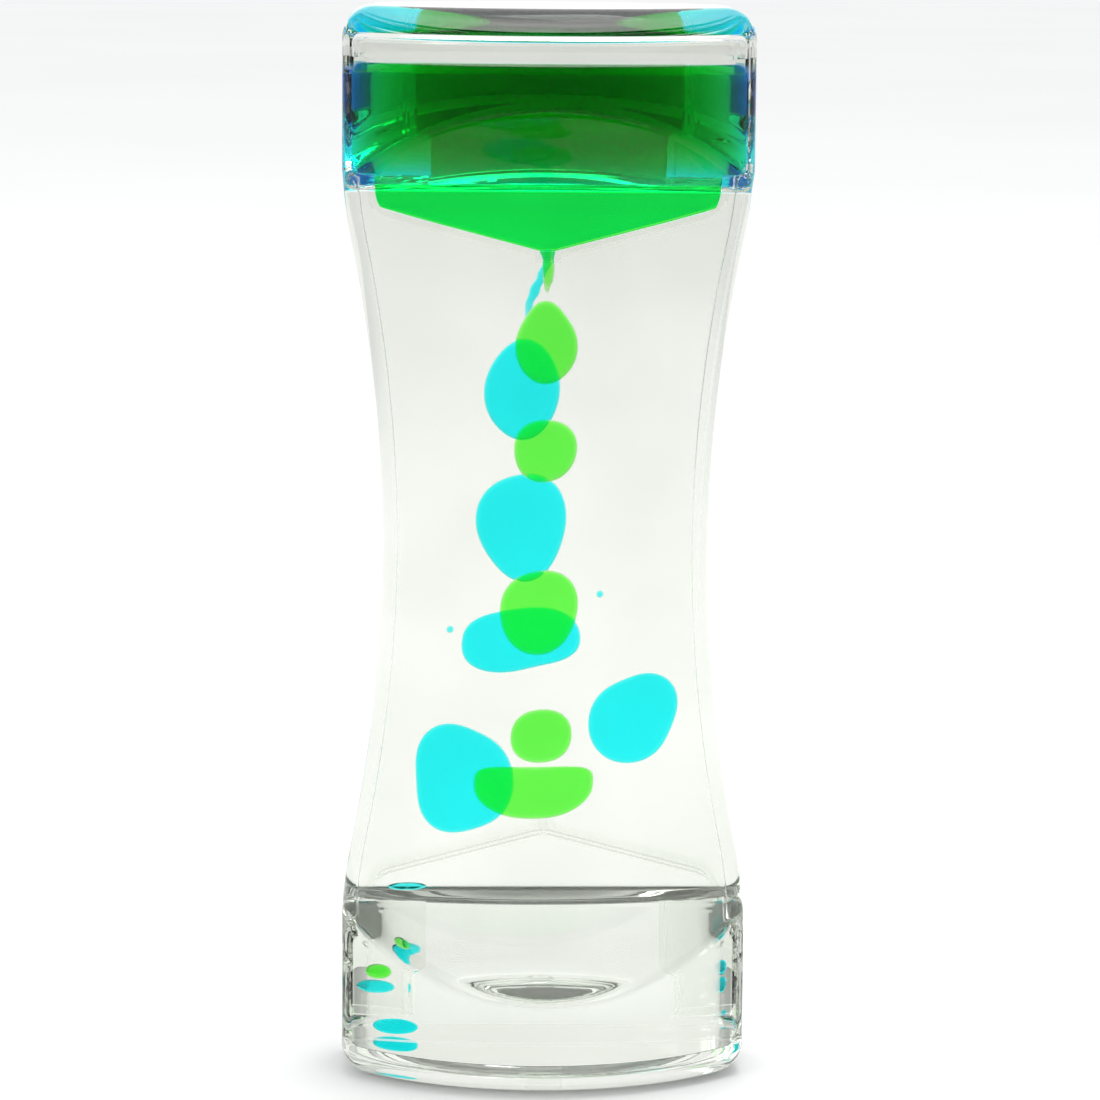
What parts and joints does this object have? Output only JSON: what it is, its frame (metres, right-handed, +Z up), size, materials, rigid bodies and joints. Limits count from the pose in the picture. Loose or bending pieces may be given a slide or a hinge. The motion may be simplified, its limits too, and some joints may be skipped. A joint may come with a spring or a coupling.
{
  "type": "liquid hourglass timer",
  "caption": "Clear hourglass-shaped liquid drip timer with green drops falling in front of blue drops, reversible, free standing on its flat base.",
  "frame": {"origin": "centre of the flat base the timer stands on", "axes": "+Z up along the height, -Y is the front (green side), +X to the right seen from the front"},
  "size_m": [0.0516, 0.036, 0.136],
  "materials": {
    "clear_case": "clear polished styrene plastic",
    "clear_insert": "clear polished styrene plastic",
    "green_liquid": "dyed yellow-green liquid, see-through",
    "blue_liquid": "dyed sky-blue liquid, see-through",
    "clear_liquid": "clear carrier liquid"
  },
  "bodies": {
    "case": {"front_shell": "clear_case", "back_shell": "clear_case", "divider_plate": "clear_insert", "front_fill_plug": "clear_insert", "back_fill_plug": "clear_insert", "upper_front_funnel": "clear_insert", "lower_front_funnel": "clear_insert", "upper_back_funnel": "clear_insert", "lower_back_funnel": "clear_insert", "green_liquid_reserve": "green_liquid", "blue_liquid_reserve": "blue_liquid", "green_thread": "green_liquid", "blue_thread": "blue_liquid", "blue_speck_1": "blue_liquid", "blue_speck_2": "blue_liquid", "green_bead_1": "green_liquid", "green_bead_2": "green_liquid", "blue_bead_1": "blue_liquid", "blue_bead_2": "blue_liquid", "blue_bead_3": "blue_liquid", "front_clear_liquid": "clear_liquid", "back_clear_liquid": "clear_liquid"},
    "green_drop_1": {"green_drop_1": "green_liquid"},
    "green_drop_2": {"green_drop_2": "green_liquid"},
    "green_drop_3": {"green_drop_3": "green_liquid"},
    "green_drop_4": {"green_drop_4": "green_liquid"},
    "green_drop_5": {"green_drop_5": "green_liquid"},
    "blue_drop_1": {"blue_drop_1": "blue_liquid"},
    "blue_drop_2": {"blue_drop_2": "blue_liquid"},
    "blue_drop_3": {"blue_drop_3": "blue_liquid"},
    "blue_drop_4": {"blue_drop_4": "blue_liquid"},
    "blue_drop_5": {"blue_drop_5": "blue_liquid"}
  },
  "joints": [
    {"name": "green_fall", "type": "slide", "parent": "case", "child": "green_drop_1", "axis": [0, 0, -1], "range_m": [0, 0.0215], "deforming": ["front_clear_liquid"]},
    {"name": "green_fall_2", "type": "slide", "parent": "case", "child": "green_drop_2", "axis": [0, 0, -1], "range_m": [0, 0.0172], "deforming": ["front_clear_liquid"]},
    {"name": "green_fall_3", "type": "slide", "parent": "case", "child": "green_drop_3", "axis": [0, 0, -1], "range_m": [0, 0.0069], "deforming": ["front_clear_liquid"]},
    {"name": "green_fall_4", "type": "slide", "parent": "case", "child": "green_drop_4", "axis": [0, 0, -1], "range_m": [0, 0.0006], "deforming": ["front_clear_liquid"]},
    {"name": "green_fall_5", "type": "slide", "parent": "case", "child": "green_drop_5", "axis": [0, 0, -1], "range_m": [0, 0.0005], "deforming": ["front_clear_liquid"]},
    {"name": "blue_fall", "type": "slide", "parent": "case", "child": "blue_drop_1", "axis": [0, 0, -1], "range_m": [0, 0.013], "deforming": ["back_clear_liquid"]},
    {"name": "blue_fall_2", "type": "slide", "parent": "case", "child": "blue_drop_2", "axis": [0, 0, -1], "range_m": [0, 0.009], "deforming": ["back_clear_liquid"]},
    {"name": "blue_fall_3", "type": "slide", "parent": "case", "child": "blue_drop_3", "axis": [0, 0, -1], "range_m": [0, 0.0062], "deforming": ["back_clear_liquid"]},
    {"name": "blue_fall_4", "type": "slide", "parent": "case", "child": "blue_drop_4", "axis": [0, 0, -1], "range_m": [0, 0.0085], "deforming": ["back_clear_liquid"]},
    {"name": "blue_slide_5", "type": "slide", "parent": "case", "child": "blue_drop_5", "axis": [-0.9674, 0, -0.2531], "range_m": [0, 0.004], "deforming": ["back_clear_liquid"]}
  ],
  "couplings": [
    {"joint": "green_fall_2", "follows": "green_fall", "ratio": 0.8},
    {"joint": "green_fall_3", "follows": "green_fall", "ratio": 0.32},
    {"joint": "green_fall_4", "follows": "green_fall", "ratio": 0.0279},
    {"joint": "green_fall_5", "follows": "green_fall", "ratio": 0.0232},
    {"joint": "blue_fall_2", "follows": "blue_fall", "ratio": 0.68},
    {"joint": "blue_fall_3", "follows": "blue_fall", "ratio": 0.46},
    {"joint": "blue_fall_4", "follows": "blue_fall", "ratio": 0.65},
    {"joint": "blue_slide_5", "follows": "blue_fall", "ratio": 0.3}
  ]
}
